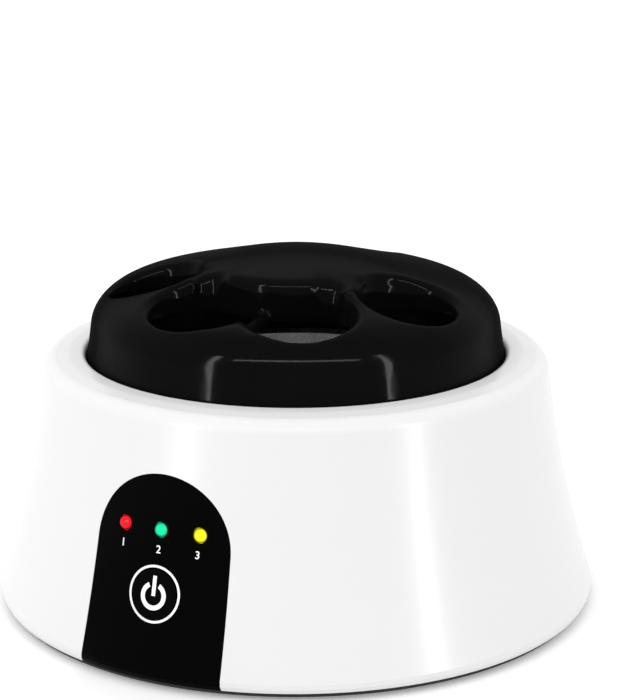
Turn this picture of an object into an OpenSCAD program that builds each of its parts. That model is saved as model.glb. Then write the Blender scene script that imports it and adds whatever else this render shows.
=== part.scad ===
// Gel polish remover machine: a flared white body with a heated bowl in its
// well, an arched control panel and a soft black cover with finger holes.
// Millimetres. +Z is up, the control panel faces -Y, and the origin lies
// under the middle of the body, on the surface that it stands on.

/* [Body] */
// Diameter of the white shell just above its bottom edge
body_d = 172.4; // [166:0.2:184]
// Width of the top ring, from the well's wall to the outside of the shoulder
ring_w = 12.3; // [11:0.1:16]
// Height of the shell's top ring above the standing surface
body_h = 71.5; // [69:0.5:80]
// Inward bow of the flared wall
flare_bow = 1.57; // [0.5:0.01:2.5]
// Wall of the shell
shell_t = 2.6; // [2.2:0.1:3]
// Radial size of the top shoulder's rounding
shoulder_a = 4.75; // [3.6:0.05:5.5]
// Height of the top shoulder's rounding
shoulder_b = 3.9; // [3.4:0.1:5]
// Rise of the top ring from the shoulder to the well
ring_rise = 0.5; // [0:0.1:1]

/* [Well] */
// Gap between the bowl's flange and the inside of the cover
flange_gap = 0.7; // [0.5:0.1:1.5]
// Depth of the well's ledge below the top ring
well_depth = 11; // [9:0.5:12]
// Rounding of the well's rim
rim_r = 1.4; // [1:0.1:2.5]
// Gap between the bowl's side and the edge of the ledge's opening
ledge_gap = 2; // [1:0.1:3]
// Thickness of the ledge
ledge_t = 2.6; // [2:0.1:3.4]

/* [Cover] */
// Gap between the cover and the well
cover_gap = 0.4; // [0.3:0.1:1.4]
// Wall of the soft cover
cover_t = 3; // [2.6:0.1:3.4]
// Height of the cover's rim above the top ring
cover_stand = 20.7; // [18:0.1:24]
// Draw-in of the cover's side above the well
skirt_draft = 1.25; // [0.8:0.05:2.5]
// Radial size of the cover's shoulder
dome_a = 17.8; // [15:0.1:20]
// Height of the cover's shoulder
dome_b = 12.9; // [10:0.1:15]
// Slope of the cover's top toward its crown, in degrees
crown_angle = 14.2; // [10:0.1:18]
// Turn of the cover from the panel's centre line, in degrees
cover_turn = 8; // [-15:0.5:15]

/* [Finger holes] */
// Diameter of the two middle finger holes
finger_d = 29.5; // [26:0.1:30]
// Diameter of the two outer finger holes
outer_d = 27; // [24:0.1:28]
// Diameter of the thumb hole
thumb_d = 29; // [26:0.1:33]
// Farthest reach of the hole lips from the cover's axis
lip_reach = 52.9; // [52:0.1:55.5]
// Angle of the two middle finger holes, in degrees
middle_angle = 21.3; // [19:0.1:22]
// Angle of the two outer finger holes, in degrees
outer_angle = 69.3; // [65:0.1:72]
// Rounding of the hole lips
lip_r = 3; // [2:0.1:3.5]
// Diameter of the palm hub
hub_d = 51; // [47:0.5:53]
// Thickness of the webs between the holes
web_t = 3; // [2.4:0.1:3.6]
// Angle of the two tall webs, in degrees
web_angle = 46.5; // [44:0.5:48]
// Height of the hole collars' lower edge above the top ring
collar_stand = 14.1; // [12.5:0.1:15.5]
// Height of the low web between the middle holes
low_web_h = 2.3; // [1.5:0.1:3]
// Wall of the hole collars
collar_t = 2.4; // [2:0.1:2.8]

/* [Control panel] */
// Width of the panel at its foot
panel_foot_w = 42.4; // [38:0.1:46]
// Width of the panel where its arch springs
panel_arch_w = 39.8; // [36:0.1:42]
// Height of the arch's centre above the standing surface
panel_arch_z = 35.4; // [33:0.1:38]
// Thickness of the panel
panel_t = 1; // [0.8:0.1:1.2]
// Height of the lamps above the standing surface
lamp_z = 41; // [39:0.1:43]
// Angle between neighbouring lamps, in degrees
lamp_step = 8.4; // [7:0.1:9.5]
// Diameter of a lamp
lamp_d = 3.9; // [3:0.1:4.4]
// Length of a lamp's body
lamp_len = 6; // [5.4:0.1:6.6]
// Height of a lamp's dome above the panel
lamp_stand = 1; // [0.5:0.1:1.6]
// Height of the power button above the standing surface
button_z = 24.5; // [22:0.1:26]
// Diameter of the power button
button_d = 13.2; // [11:0.1:14]
// Travel of the power button
button_travel = 0.5; // [0.3:0.05:0.6]
// Height of the button's face above the panel
button_stand = 0.3; // [0.1:0.05:0.5]

/* [Board] */
// Width of the control board
board_w = 46; // [44:0.5:52]
// Height of the control board
board_h = 40; // [38:0.5:42]
// Thickness of the control board
board_t = 1.6; // [1:0.1:2]
// Distance from the panel's face to the board's front
board_back = 11; // [10.5:0.1:12]
// Height of the board's centre above the standing surface
board_z = 33; // [31:0.5:34]

/* [Base] */
// Height of the feet below the base
foot_h = 1; // [0.6:0.1:2]
// Diameter of the feet
foot_d = 14; // [10:0.5:18]
// Depth of a foot's pocket
foot_pocket = 1; // [0.6:0.1:1.2]
// Distance of the feet from the middle
foot_ring_r = 70; // [60:0.5:72]
// Thickness of the base plate
base_t = 2.4; // [2.2:0.1:3.2]
// Visible edge of the base under the shell
base_edge = 1.5; // [1:0.1:2]
// Inset of the base's edge from the shell's side
base_inset = 1.4; // [1:0.1:2.2]
// Distance of the base screws from the middle
post_ring_r = 74; // [72:0.5:76]
// Diameter of the screw posts
post_d = 8; // [7:0.1:9]

/* [Power inlet] */
// Diameter of the power plug that fits
plug_d = 5.5; // [5:0.1:6]
// Depth of the inlet's bore
plug_depth = 9.5; // [8:0.5:11]
// Diameter of the inlet's centre pin
pin_d = 2.1; // [1.5:0.1:2.5]
// Height of the inlet above the standing surface
inlet_z = 16; // [14:0.5:20]
// Diameter of the inlet's threaded sleeve
sleeve_d = 8; // [7.6:0.1:9]
// Diameter of the flat pocket round the inlet
pocket_d = 14; // [13:0.1:16]

/* [Heater] */
// Inside diameter of the bowl at its top; the well and the ring lie round it
bowl_d = 100; // [96:0.5:106]
// Width of the bowl's flange
flange_w = 6; // [5:0.1:8]
// Diameter of the bowl's flat floor
bowl_floor_d = 78; // [70:0.5:82]
// Depth of the bowl
bowl_depth = 27; // [22:0.5:30]
// Wall of the bowl
bowl_t = 1; // [0.8:0.1:1.4]
// Thickness of the seal under the bowl's flange
seal_t = 1; // [0.8:0.1:1.5]
// Diameter of the heating plate
heater_d = 70; // [60:0.5:74]
// Thickness of the heating plate
heater_t = 2.2; // [1.6:0.1:3]
// Thickness of the clamp plate
clamp_t = 1.2; // [1:0.1:2]
// Thickness of the insulation pad
pad_t = 6.5; // [6.2:0.1:7]
// Wall of the liner cup
liner_t = 2; // [1.6:0.1:2.6]
// Diameter of the bowl's stud
stud_d = 5; // [4:0.1:6]

/* [Hidden] */
$fn = 96;
eps = 0.01;
far = 200;

// Fits between the pieces
glue_gap = 0.1;
edge_gap = 0.15;
soft_gap = 0.3;
screw_gap = 0.25;
button_gap = 0.2;
lamp_gap = 0.15;
sleeve_gap = 0.15;
slip_gap = 0.1;

// Heights of the body
shell_z0 = foot_h + base_edge;
flare_z0 = shell_z0 + 2.5;
flare_z1 = body_h - shoulder_b;
top_z = body_h + ring_rise;
ledge_z = body_h - well_depth;
collar_z = body_h + collar_stand;

// Radii at the top, each from the one inside it: bowl, flange, cover, well, shoulder
bowl_r = bowl_d / 2;
flange_out_r = bowl_r + flange_w;
cover_r = flange_out_r + flange_gap + cover_t;
well_r = cover_r + cover_gap;
shoulder_r = well_r + ring_w;
ledge_r = bowl_r + bowl_t + ledge_gap;

// Outer radius of the white shell at height z
function shell_r(z) =
    let (t = (z - flare_z0) / (flare_z1 - flare_z0))
    body_d / 2 + (shoulder_r - body_d / 2) * t - 4 * flare_bow * t * (1 - t);

// Slope of the shell's wall from the vertical at height z, in degrees
function shell_slope(z) = atan((shell_r(z - 1) - shell_r(z + 1)) / 2);

// Arc points in the radius-height plane
function arc(c, a, b, from, to, n) =
    [for (i = [0:n]) let (w = from + (to - from) * i / n) [c.x + a * cos(w), c.y + b * sin(w)]];

// Side of the body, inset by d, from the foot to the top of the shoulder
function side_pts(d) =
    concat(
        [[body_d / 2 - 0.5 - d, shell_z0], [body_d / 2 - d, shell_z0 + 1.2]],
        [for (i = [0:14]) let (z = flare_z0 + (flare_z1 - flare_z0) * i / 14) [shell_r(z) - d, z]],
        arc([shoulder_r - shoulder_a, flare_z1], shoulder_a - d, shoulder_b - d, 10, 90, 7)
    );

module turned(pts) rotate_extrude() polygon(pts);

// Filled body of revolution, inset by d from the shell's outside
module body_solid(d = 0) {
    side = side_pts(d);
    turned(concat([[0, side[0].y]], side, [[0, side[len(side) - 1].y]]));
}

// Places children on the panel: local Z leaves the panel, local Y runs up it
tilt = shell_slope(board_z);
panel_y = -shell_r(board_z);
module at_panel() translate([0, panel_y, board_z]) rotate([90 - tilt, 0, 0]) children();

// The same change of frame for a point
function to_panel(p) = [
    p.x,
    (p.y - panel_y) * sin(tilt) + (p.z - board_z) * cos(tilt),
    -(p.y - panel_y) * cos(tilt) + (p.z - board_z) * sin(tilt)
];

// Point on the body's side at a height and an angle from the panel's centre
function side_point(z, angle) = [shell_r(z) * sin(angle), -shell_r(z) * cos(angle), z];

lamp_at = [for (k = [-1:1]) to_panel(side_point(lamp_z, k * lamp_step))];
button_at = to_panel(side_point(button_z, 0));
board_front = -board_back;

// ---- Shell -------------------------------------------------------------

// Arch outline of the control panel, grown by g
module arch_outline(g = 0) {
    foot = panel_foot_w / 2 + g;
    top = panel_arch_w / 2 + g;
    polygon([[-foot, -1], [foot, -1], [top, panel_arch_z], [-top, panel_arch_z]]);
    translate([0, panel_arch_z]) circle(top);
}

module arch_prism(g = 0) rotate([90, 0, 0]) linear_extrude(far) arch_outline(g);

board_hole_x = board_w / 2 - 3.5;
board_hole_y = board_h / 2 - 3.5;
board_post_d = 6.4;
board_screw_d = 2.2;
module at_board_holes()
    for (x = [-1, 1], y = [-1, 1]) translate([x * board_hole_x, y * board_hole_y, 0]) children();

module at_posts() for (a = [45:90:315]) rotate([0, 0, a]) translate([0, -post_ring_r, 0]) children();

base_top_z = foot_h + base_t;
post_z0 = base_top_z;
screw_d = 3;
screw_pilot_d = 2.5;
screw_bite = 9;

inlet_floor_r = shell_r(inlet_z) - shell_t - 0.6;
inlet_wall = 2.2;
inlet_back_r = inlet_floor_r - inlet_wall;
module at_inlet(r) translate([0, r, inlet_z]) rotate([-90, 0, 0]) children();

flange_r = button_d / 2 + 1.6;
flange_t = 1;
button_hole_r = button_d / 2 + button_gap;

module outer_shell() color("white") {
    skin = side_pts(0);
    inner = side_pts(shell_t);
    n = len(inner);
    profile = concat(
        skin,
        [[(well_r + shoulder_r - shoulder_a) / 2 + 1, body_h + ring_rise * 0.75]],
        arc([well_r + rim_r, top_z - rim_r], rim_r, rim_r, 90, 180, 6),
        [[well_r, ledge_z], [ledge_r, ledge_z], [ledge_r, ledge_z - ledge_t]],
        [[well_r + shell_t, ledge_z - ledge_t], [well_r + shell_t, inner[n - 1].y]],
        [for (i = [n - 1:-1:0]) inner[i]]
    );
    difference() {
        union() {
            turned(profile);
            intersection() {
                body_solid(shell_t / 2);
                union() {
                    at_posts() translate([0, 0, post_z0]) cylinder(d = post_d, h = ledge_z - 8 - post_z0);
                    at_inlet(inlet_back_r) cylinder(d = pocket_d + 4, h = 20);
                    at_panel() at_board_holes() translate([0, 0, board_front]) cylinder(d = board_post_d, h = 20);
                }
            }
        }
        // Shallow seat of the control panel
        intersection() {
            difference() {
                body_solid(-1);
                body_solid(panel_t + glue_gap);
            }
            arch_prism(edge_gap);
        }
        at_panel() {
            for (p = lamp_at) translate([p.x, p.y, -far / 2]) cylinder(d = lamp_d + 2 * lamp_gap, h = far);
            translate([0, button_at.y, board_front]) cylinder(r = button_hole_r, h = far);
            at_board_holes() translate([0, 0, board_front - eps]) cylinder(d = board_screw_d - 0.4, h = 5);
            // Flat space behind the wall for the button's flange
            translate([0, button_at.y, button_at.z - 20 - shell_t - 1.2])
                cylinder(r = flange_r + 0.4, h = 20);
        }
        at_posts() translate([0, 0, post_z0 - eps]) cylinder(d = screw_pilot_d, h = screw_bite + 1);
        at_inlet(inlet_floor_r) cylinder(d = pocket_d, h = 20);
        at_inlet(inlet_back_r - 1) cylinder(d = sleeve_d + 2 * sleeve_gap, h = 20);
    }
}

// ---- Control panel, lamps and button -------------------------------------

module control_panel() color("#101012") difference() {
    intersection() {
        difference() {
            body_solid(0);
            body_solid(panel_t);
        }
        arch_prism(0);
    }
    at_panel() {
        for (p = lamp_at) translate([p.x, p.y, -far / 2]) cylinder(d = lamp_d + 2 * lamp_gap, h = far);
        translate([0, button_at.y, -far / 2]) cylinder(r = button_hole_r, h = far);
    }
}

// One lamp: dome, body, flange and two legs down to the board
module lamp(p) at_panel() translate([p.x, p.y, 0]) {
    tip = p.z + lamp_stand;
    base = tip - lamp_len;
    difference() {
        union() {
            translate([0, 0, base]) cylinder(d = lamp_d, h = lamp_len - lamp_d / 2);
            translate([0, 0, tip - lamp_d / 2]) sphere(d = lamp_d);
            translate([0, 0, base]) cylinder(d = lamp_d + 1, h = 1);
        }
        translate([0, 0, base - lamp_d]) cylinder(d = 2 * lamp_d, h = lamp_d);
    }
    for (x = [-1.27, 1.27])
        translate([x - 0.25, -0.25, board_front]) cube([0.5, 0.5, base - board_front + 0.2]);
}

module led_red() color("#e0263a") lamp(lamp_at[0]);
module led_green() color("#16c98d") lamp(lamp_at[1]);
module led_yellow() color("#f2e21c") lamp(lamp_at[2]);

// Switch on the board and the plunger that slides in it
switch_w = 6;
switch_h = 3.6;
plunger_d = 3.4;
plunger_z = board_front + 1.6;
stem_z = board_front + switch_h + 1.6;

module tact_switch() color("#2b2b2b") at_panel() translate([0, button_at.y, board_front]) difference() {
    translate([-switch_w / 2, -switch_w / 2, 0]) cube([switch_w, switch_w, switch_h]);
    translate([0, 0, plunger_z - button_travel - 0.3 - board_front])
        cylinder(d = plunger_d + 2 * slip_gap, h = switch_h);
}

module switch_plunger() color("#c9a227") at_panel() translate([0, button_at.y, plunger_z])
    cylinder(d = plunger_d, h = stem_z - plunger_z);

module power_button() color("#0e0e10") {
    face = button_at.z;
    back = face - shell_t - 1.2;
    intersection() {
        at_panel() translate([0, button_at.y, back]) cylinder(d = button_d, h = 20);
        body_solid(-button_stand);
    }
    at_panel() translate([0, button_at.y, 0]) {
        translate([0, 0, back - flange_t]) cylinder(r = flange_r, h = flange_t + eps);
        translate([0, 0, stem_z]) cylinder(d = 4, h = back - flange_t - stem_z + eps);
    }
}

// ---- Control board -------------------------------------------------------

module control_board() color("#1d6b3c") at_panel() difference() {
    translate([-board_w / 2, -board_h / 2, board_front - board_t]) cube([board_w, board_h, board_t]);
    at_board_holes() translate([0, 0, board_front - board_t - 1])
        cylinder(d = board_screw_d + 2 * screw_gap, h = board_t + 2);
}

chip_sizes = [[7, 7, 1.6], [5, 6.2, 2.3], [5, 4, 1.75]];
chip_places = [[-9, 6], [8, 8], [-15, -6]];
module board_chips() color("#1a1a1a") at_panel()
    for (i = [0:2]) {
        s = chip_sizes[i];
        translate([chip_places[i].x - s.x / 2, chip_places[i].y - s.y / 2, board_front - board_t - s.z])
            cube(s);
    }

socket_size = [9, 5.8, 6];
socket_x = [-6.5, 8.5];
socket_y = -11;
lead_d = 1.5;
lead_gap = 2.4;
module lead_sockets() color("#efece2") at_panel()
    for (x = socket_x)
        translate([x - socket_size.x / 2, socket_y - socket_size.y / 2, board_front - board_t - socket_size.z])
            difference() {
                cube(socket_size);
                for (k = [-0.5, 0.5]) translate([socket_size.x / 2 + k * lead_gap, socket_size.y / 2, -1])
                    cylinder(d = lead_d + 0.2, h = 4);
            }

module board_screws() color("#b8babd") at_panel() at_board_holes() {
    translate([0, 0, board_front - board_t - 1.5]) cylinder(d = 4.2, h = 1.5);
    translate([0, 0, board_front - board_t - 0.2]) cylinder(d = board_screw_d - 0.4, h = board_t + 4.6);
}

// ---- Base ------------------------------------------------------------------

base_r = body_d / 2 - base_inset;
locate_r = body_d / 2 - shell_t - 0.5 - edge_gap;
locate_h = 2.5;
locate_t = 2;
counter_d = 6.4;
counter_h = 1.2;

module at_feet() for (a = [0:90:270]) rotate([0, 0, a]) translate([0, -foot_ring_r, 0]) children();

module base_plate() color("#161616") difference() {
    turned([
        [0, foot_h], [base_r - 0.5, foot_h], [base_r, foot_h + 0.5], [base_r, shell_z0],
        [locate_r, shell_z0], [locate_r, shell_z0 + locate_h], [locate_r - locate_t, shell_z0 + locate_h],
        [locate_r - locate_t, base_top_z], [0, base_top_z]
    ]);
    at_feet() translate([0, 0, foot_h - eps]) cylinder(d = foot_d + 2 * soft_gap, h = foot_pocket + eps);
    at_posts() {
        translate([0, 0, foot_h - 1]) cylinder(d = screw_d + 2 * screw_gap, h = far);
        translate([0, 0, foot_h - eps]) cylinder(d = counter_d, h = counter_h + eps);
    }
}

module base_screws() color("#8c8f93") at_posts() difference() {
    union() {
        translate([0, 0, foot_h + counter_h - 1]) cylinder(d = counter_d - 0.8, h = 1);
        translate([0, 0, foot_h + counter_h - 0.5])
            cylinder(d = screw_pilot_d, h = base_t - counter_h + screw_bite - 0.5);
    }
    // Cross recess
    for (a = [0, 90]) rotate([0, 0, a]) translate([-1.5, -0.3, foot_h + counter_h - 2]) cube([3, 0.6, 1.6]);
}

module rubber_feet() color("#242424") at_feet() cylinder(d = foot_d, h = foot_h + foot_pocket);

// ---- Power inlet -----------------------------------------------------------

jack_len = plug_depth + 3.5;
jack_flange_t = 1.2;
jack_mouth_r = inlet_floor_r + jack_flange_t;
nut_t = 2.4;

module dc_jack() color("#1b1b1b") difference() {
    union() {
        at_inlet(jack_mouth_r - jack_len) cylinder(d = sleeve_d, h = jack_len);
        at_inlet(inlet_floor_r) cylinder(d = pocket_d - 3, h = jack_flange_t);
    }
    at_inlet(jack_mouth_r - plug_depth) cylinder(d = plug_d + 0.2, h = plug_depth + 1);
}

module jack_pin() color("#c9ccd0") at_inlet(jack_mouth_r - plug_depth) cylinder(d = pin_d, h = plug_depth - 1.5);

module jack_nut() color("#b5b8bb") at_inlet(inlet_back_r - nut_t) difference() {
    cylinder(d = sleeve_d + 4, h = nut_t, $fn = 6);
    translate([0, 0, -1]) cylinder(d = sleeve_d + 0.1, h = nut_t + 2);
}

// ---- Bowl and heater -------------------------------------------------------

seal_w = 2.4;
flange_z = ledge_z + seal_t;
floor_r = bowl_floor_d / 2;
floor_z = flange_z + bowl_t - bowl_depth;
corner_r = 9;
heater_z = floor_z - bowl_t - heater_t;
clamp_z = heater_z - clamp_t;
pad_z = clamp_z - pad_t;
liner_floor_z = pad_z - liner_t;
liner_r = ledge_r + 3.5;
nut_h = 4;
washer_t = 1;

// Inside of the bowl from the middle of its floor to its rim, inset by d
function bowl_pts(d) = concat(
    [[0, floor_z + d], [floor_r - corner_r * 0.35, floor_z + d]],
    arc([floor_r - corner_r * 0.35, floor_z + corner_r], corner_r - d, corner_r - d, -75, -25, 5),
    [[bowl_r - d, floor_z + corner_r + 10], [bowl_r - d, flange_z + bowl_t]]
);

module steam_bowl() color("#b9bcc0") {
    inside = bowl_pts(0);
    outside = bowl_pts(-bowl_t);
    n = len(outside);
    turned(concat(
        inside,
        [[flange_out_r, flange_z + bowl_t], [flange_out_r, flange_z], [bowl_r + bowl_t, flange_z]],
        [for (i = [n - 2:-1:0]) outside[i]]
    ));
}

// Stud welded under the bowl's floor; the nut below the liner pulls on it
module bowl_stud() color("#c4c7ca") {
    stud_z = liner_floor_z - washer_t - nut_h - 1;
    translate([0, 0, stud_z]) cylinder(d = stud_d, h = floor_z - bowl_t - stud_z);
}

module bowl_seal() color("#c8452c") translate([0, 0, ledge_z]) difference() {
    cylinder(r = ledge_r + 0.4 + seal_w, h = seal_t);
    translate([0, 0, -1]) cylinder(r = ledge_r + 0.4, h = seal_t + 2);
}

module ring_plate(d, h, z) translate([0, 0, z]) difference() {
    cylinder(d = d, h = h);
    translate([0, 0, -1]) cylinder(d = stud_d + 2 * screw_gap, h = h + 2);
}

// Heating plate that lies against the bowl's floor
module heater_plate() color("#8a6a4a") ring_plate(heater_d, heater_t, heater_z);

module clamp_plate() color("#9fa3a8") ring_plate(heater_d - 4, clamp_t, clamp_z);

// Places of the parts that lie under the clamp plate
stat_at = [18, -12];
stat_d = 16;
stat_h = 5.5;
fuse_at = [-16, -14];
fuse_d = 4;
fuse_len = 12;
probe_at = [-14, 14];
probe_d = 4;
lead_hole_at = [0, -26];
lead_hole_d = 7;
recess_gap = 0.4;

module insulation_pad() color("#e7e1d3") difference() {
    ring_plate(heater_d + 6, pad_t, pad_z);
    translate([stat_at.x, stat_at.y, pad_z - 1]) cylinder(d = stat_d + 2 * recess_gap, h = pad_t + 2);
    translate([fuse_at.x - fuse_len / 2 - 1, fuse_at.y - fuse_d / 2 - recess_gap, clamp_z - fuse_d - recess_gap])
        cube([fuse_len + 2, fuse_d + 2 * recess_gap, fuse_d + 1]);
    translate([probe_at.x, probe_at.y, pad_z - 1]) cylinder(d = probe_d + 2 * recess_gap, h = pad_t + 2);
    translate([lead_hole_at.x, lead_hole_at.y, pad_z - 1]) cylinder(d = lead_hole_d, h = pad_t + 2);
}

module liner_cup() color("#2a2a2c") difference() {
    turned([
        [0, liner_floor_z], [liner_r - 4, liner_floor_z], [liner_r, liner_floor_z + 4],
        [liner_r, ledge_z - ledge_t - liner_t], [well_r - 0.5, ledge_z - ledge_t - liner_t],
        [well_r - 0.5, ledge_z - ledge_t], [liner_r - liner_t, ledge_z - ledge_t],
        [liner_r - liner_t, liner_floor_z + liner_t + 3.2], [liner_r - liner_t - 3.2, liner_floor_z + liner_t],
        [0, liner_floor_z + liner_t]
    ]);
    translate([0, 0, liner_floor_z - 1]) cylinder(d = stud_d + 2 * screw_gap, h = liner_t + 2);
    translate([lead_hole_at.x, lead_hole_at.y, liner_floor_z - 1]) cylinder(d = lead_hole_d, h = liner_t + 2);
}

module stud_washer() color("#c2c5c8") ring_plate(stud_d + 9, washer_t, liner_floor_z - washer_t);

module stud_nut() color("#aeb1b4") translate([0, 0, liner_floor_z - washer_t - nut_h]) difference() {
    cylinder(d = stud_d + 4.2, h = nut_h, $fn = 6);
    translate([0, 0, -1]) cylinder(d = stud_d + 0.1, h = nut_h + 2);
}

module thermostat() color("#d9d4c7") translate([stat_at.x, stat_at.y, clamp_z - stat_h]) {
    cylinder(d = stat_d, h = stat_h);
    for (x = [-4, 4]) translate([x - 0.4, -2, -0.8]) cube([0.8, 4, 1]);
}

module thermal_fuse() color("#c9b27a") translate([fuse_at.x, fuse_at.y, clamp_z - fuse_d / 2])
    rotate([0, 90, 0]) cylinder(d = fuse_d, h = fuse_len, center = true);

module temperature_probe() color("#caa15a") translate([probe_at.x, probe_at.y, clamp_z - 6])
    cylinder(d = probe_d, h = 6);

// ---- Leads -----------------------------------------------------------------

// One pass that cuts the corners of a path and keeps its ends
function cut_corners(p) = concat(
    [p[0]],
    [for (i = [0:len(p) - 2], t = [0.25, 0.75])
        if (!(i == 0 && t < 0.5) && !(i == len(p) - 2 && t > 0.5)) p[i] + t * (p[i + 1] - p[i])],
    [p[len(p) - 1]]
);

function unit(v) = v / norm(v);

// Direction of a path at point i
function heading(p, i) = unit(p[min(i + 1, len(p) - 1)] - p[max(i - 1, 0)]);

// Side vectors carried along a path without twist
function sides(p, i = 0, last = [1, 0, 0]) =
    i == len(p) ? [] :
    let (t = heading(p, i), s = unit(last - (last * t) * t))
    concat([s], sides(p, i + 1, s));

// Round wire along a path, as one swept solid
module wire(path, d, n = 8) {
    p = cut_corners(cut_corners(path));
    side = sides(p);
    rings = [for (i = [0:len(p) - 1], k = [0:n - 1])
        let (t = heading(p, i), u = side[i], v = cross(t, u), w = 360 * k / n)
        p[i] + d / 2 * (u * cos(w) + v * sin(w))];
    walls = [for (i = [0:len(p) - 2], k = [0:n - 1]) let (a = i * n + k, b = i * n + (k + 1) % n)
        each [[a, b, b + n], [a, b + n, a + n]]];
    start = [for (k = [1:n - 2]) [0, k + 1, k]];
    tail = (len(p) - 1) * n;
    end = [for (k = [1:n - 2]) [tail, tail + k, tail + k + 1]];
    polyhedron(points = rings, faces = [for (f = concat(walls, start, end)) [f[2], f[1], f[0]]]);
}

// Point of a lead where it leaves its socket, depth behind the board
function socket_point(i, k, depth) =
    let (
        x = socket_x[i] + k * lead_gap,
        back = board_front - board_t - socket_size.z - depth
    )
    [
        x,
        panel_y + socket_y * sin(tilt) - back * cos(tilt),
        board_z + socket_y * cos(tilt) + back * sin(tilt)
    ];

lead_run_z = base_top_z + 3;
lead_run_x = 30;
lead_run_y = 38;
lead_pitch = 3;

module power_leads() color("#b3261e") for (k = [-0.5, 0.5]) {
    side = lead_run_x - k * lead_pitch;
    wire([
        socket_point(0, k, -2), socket_point(0, k, 3), [-side, -lead_run_y, lead_run_z + 2],
        [-side, lead_run_y, lead_run_z + 2], [k * 4, inlet_back_r - nut_t - 13, inlet_z], [k * 4, jack_mouth_r - jack_len, inlet_z]
    ], lead_d);
}

module heater_leads() color("#e8e4da") for (k = [-0.5, 0.5]) {
    x = lead_hole_at.x + k * lead_pitch;
    wire([
        socket_point(1, k, -2), socket_point(1, k, 3), [x, lead_hole_at.y - 8, liner_floor_z - 6],
        [x, lead_hole_at.y, liner_floor_z - 4], [x, lead_hole_at.y, clamp_z]
    ], lead_d);
}

// ---- Finger cover -----------------------------------------------------------

seat_z = ledge_z + soft_gap;
dome_r = cover_r - skirt_draft;
dome_c = dome_r - dome_a;
dome_z0 = body_h + cover_stand - dome_b;
hub_r = hub_d / 2;
crown_r = hub_r - lip_r;

// Angle on the shoulder's ellipse where the crown's slope begins
function crown_start(a, b) = atan(b / (a * tan(crown_angle)));

// Outline of the cover's top from the shoulder to the crown, inset by d, in n steps
function dome_pts(d, n) =
    let (
        a = dome_a - d,
        b = dome_b - d,
        w = crown_start(a, b),
        r1 = dome_c + a * cos(w),
        z1 = dome_z0 + b * sin(w),
        z2 = z1 + (r1 - crown_r) * tan(crown_angle),
        rc = crown_r / sin(crown_angle),
        zc = z2 - rc * cos(crown_angle)
    )
    concat(
        arc([dome_c, dome_z0], a, b, 0, w, n),
        arc([0, zc], rc, rc, 90 - crown_angle, 90, n / 2)
    );

// Height of the cover's outside at radius r, from the crown's edge outwards
function dome_z(r) =
    let (
        w = crown_start(dome_a, dome_b),
        r1 = dome_c + dome_a * cos(w)
    )
    r > r1
        ? dome_z0 + dome_b * sqrt(1 - pow((r - dome_c) / dome_a, 2))
        : dome_z0 + dome_b * sin(w) + (r1 - r) * tan(crown_angle);

// Plane through a hole's lip: from its farthest reach to the hub's edge
lip_slope = atan((dome_z(hub_r + 0.8) - dome_z(lip_reach)) / (lip_reach - hub_r - 0.8));

// Distance of a hole's middle from the cover's axis
function hole_mid_r(d) = lip_reach - d / 2 * cos(lip_slope);

module at_hole(angle, d) {
    z = dome_z(lip_reach) + d / 2 * sin(lip_slope);
    rotate([0, 0, angle]) translate([0, -hole_mid_r(d), z]) rotate([lip_slope, 0, 0]) children();
}

finger_angles = [-outer_angle, -middle_angle, middle_angle, outer_angle];

// Diameter of the finger hole at an angle
function hole_d(angle) = abs(angle) > web_angle ? outer_d : finger_d;

// Rounded mouth of a hole, whose plane is z = 0
brim = 5;
brim_slope = 12;
module bell_mouth(d) rotate_extrude($fn = 40) polygon(concat(
    [[0, -lip_r - 0.4], [d / 2, -lip_r - 0.4]],
    arc([d / 2 + lip_r, -lip_r], lip_r, lip_r, 180, 90, 4),
    [[d / 2 + lip_r + brim, brim * tan(brim_slope)], [d / 2 + lip_r + brim, 20], [0, 20]]
));

// Plan of a tilted hole seen from above, grown by g
module hole_plan(angle, d, g = 0) rotate(angle) translate([0, -hole_mid_r(d)])
    scale([d / 2 + g, d / 2 * cos(lip_slope) + g]) circle(1, $fn = 40);

function ring_point(r, angle) = [r * sin(angle), -r * cos(angle)];

// Sector of the cover that faces the fingers, between the tall webs
module front_sector() polygon([[0, 0], ring_point(far, -web_angle), ring_point(far, web_angle)]);

// Space between the hub and the two middle holes, up to the tall webs
module hub_trench() {
    corner = 4.5;
    corner_angle = web_angle - asin((web_t / 2 + corner) / (hub_r + corner));
    difference() {
        union() {
            for (s = [-1, 1]) hull() {
                translate(ring_point(hole_mid_r(finger_d), s * middle_angle)) circle(finger_d / 2 - 1, $fn = 48);
                translate(ring_point(hub_r + corner, s * corner_angle)) circle(corner, $fn = 24);
            }
            intersection() {
                circle(hub_r + 8, $fn = 72);
                polygon([[0, 0], ring_point(far, -corner_angle), ring_point(far, corner_angle)]);
            }
        }
        circle(hub_r, $fn = 72);
    }
}

// Cuts the rounded edge of the hub beside the middle holes
module hub_edge() intersection() {
    c = [hub_r - lip_r, dome_z(crown_r) - lip_r / cos(crown_angle)];
    rotate_extrude($fn = 72) polygon(concat(
        [[hub_r + 1, c.y]],
        arc(c, lip_r, lip_r, 0, 90 - crown_angle, 5),
        [[c.x + lip_r * sin(crown_angle), c.y + lip_r + 3], [hub_r + 1, c.y + lip_r + 3]]
    ));
    linear_extrude(far) front_sector();
}

// Upright wall between two holes, its crest round, from radius r0 to r1
module web(angle, r0, r1, z0, z1) rotate([0, 0, angle]) hull() {
    for (p = [[r0, z0], [r1, z1]]) translate([0, -p.x, 0]) {
        translate([0, 0, p.y - web_t / 2]) sphere(d = web_t, $fn = 24);
        translate([0, 0, collar_z]) cylinder(d = web_t, h = 0.1, $fn = 24);
    }
}

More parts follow.
